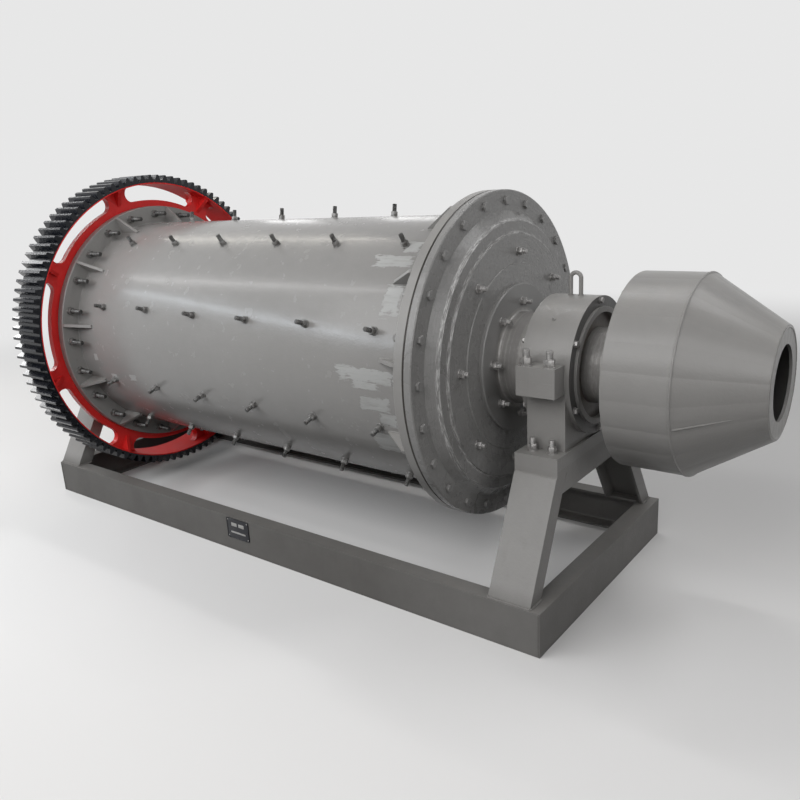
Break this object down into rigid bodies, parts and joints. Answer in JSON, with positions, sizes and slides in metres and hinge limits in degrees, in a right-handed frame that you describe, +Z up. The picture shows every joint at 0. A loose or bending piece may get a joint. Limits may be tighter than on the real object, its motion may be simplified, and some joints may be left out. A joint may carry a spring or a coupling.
{
  "type": "ball mill",
  "caption": "Small horizontal ball mill: bolted drum with stepped heads, red spoked girth gear and cone feeder, on a channel base frame.",
  "frame": {"origin": "centre of the bounding box, on the floor", "axes": "+X along the mill axis towards the feeder, +Z up, +Y to the far side of the picture"},
  "size_m": [3.117, 1.3462, 1.4261],
  "materials": {
    "body_paint": "satin grey paint",
    "head_paint": "satin grey paint, worn",
    "gear_black": "gloss black coating",
    "gear_red": "gloss red paint",
    "bush_bronze": "machined bronze"
  },
  "bodies": {
    "base_frame": {"base_rail_near": "body_paint", "base_rail_far": "body_paint", "base_end_feed": "body_paint", "base_end_discharge": "body_paint", "feed_leg_near": "body_paint", "feed_leg_far": "body_paint", "discharge_leg_near": "body_paint", "discharge_leg_far": "body_paint", "feed_seat_beam": "body_paint", "discharge_seat_beam": "body_paint", "feed_bearing_base": "body_paint", "feed_bearing_cap": "body_paint", "feed_bush": "bush_bronze", "feed_cover_inner": "head_paint", "feed_cover_outer": "head_paint", "feed_lifting_eye": "body_paint", "discharge_bearing_base": "body_paint", "discharge_bearing_cap": "body_paint", "discharge_bush": "bush_bronze", "discharge_cover_inner": "head_paint", "discharge_cover_outer": "head_paint", "discharge_lifting_eye": "body_paint"},
    "drum": {"shell": "body_paint", "feed_flange": "body_paint", "discharge_flange": "body_paint", "feed_gussets": "body_paint", "discharge_gussets": "body_paint", "feed_head": "head_paint", "discharge_head": "head_paint", "feed_trunnion": "head_paint", "discharge_trunnion": "head_paint", "gear_rim": "gear_black", "gear_wheel": "gear_red", "feeder_back": "body_paint", "feeder_drum": "body_paint", "feeder_cone": "body_paint", "feeder_mouth": "body_paint", "spout_ring": "body_paint"}
  },
  "joints": [
    {"name": "drum_spin", "type": "hinge", "parent": "base_frame", "child": "drum", "pos_m": [0, 0, 0.753], "axis": [1, 0, 0], "continuous": true}
  ]
}
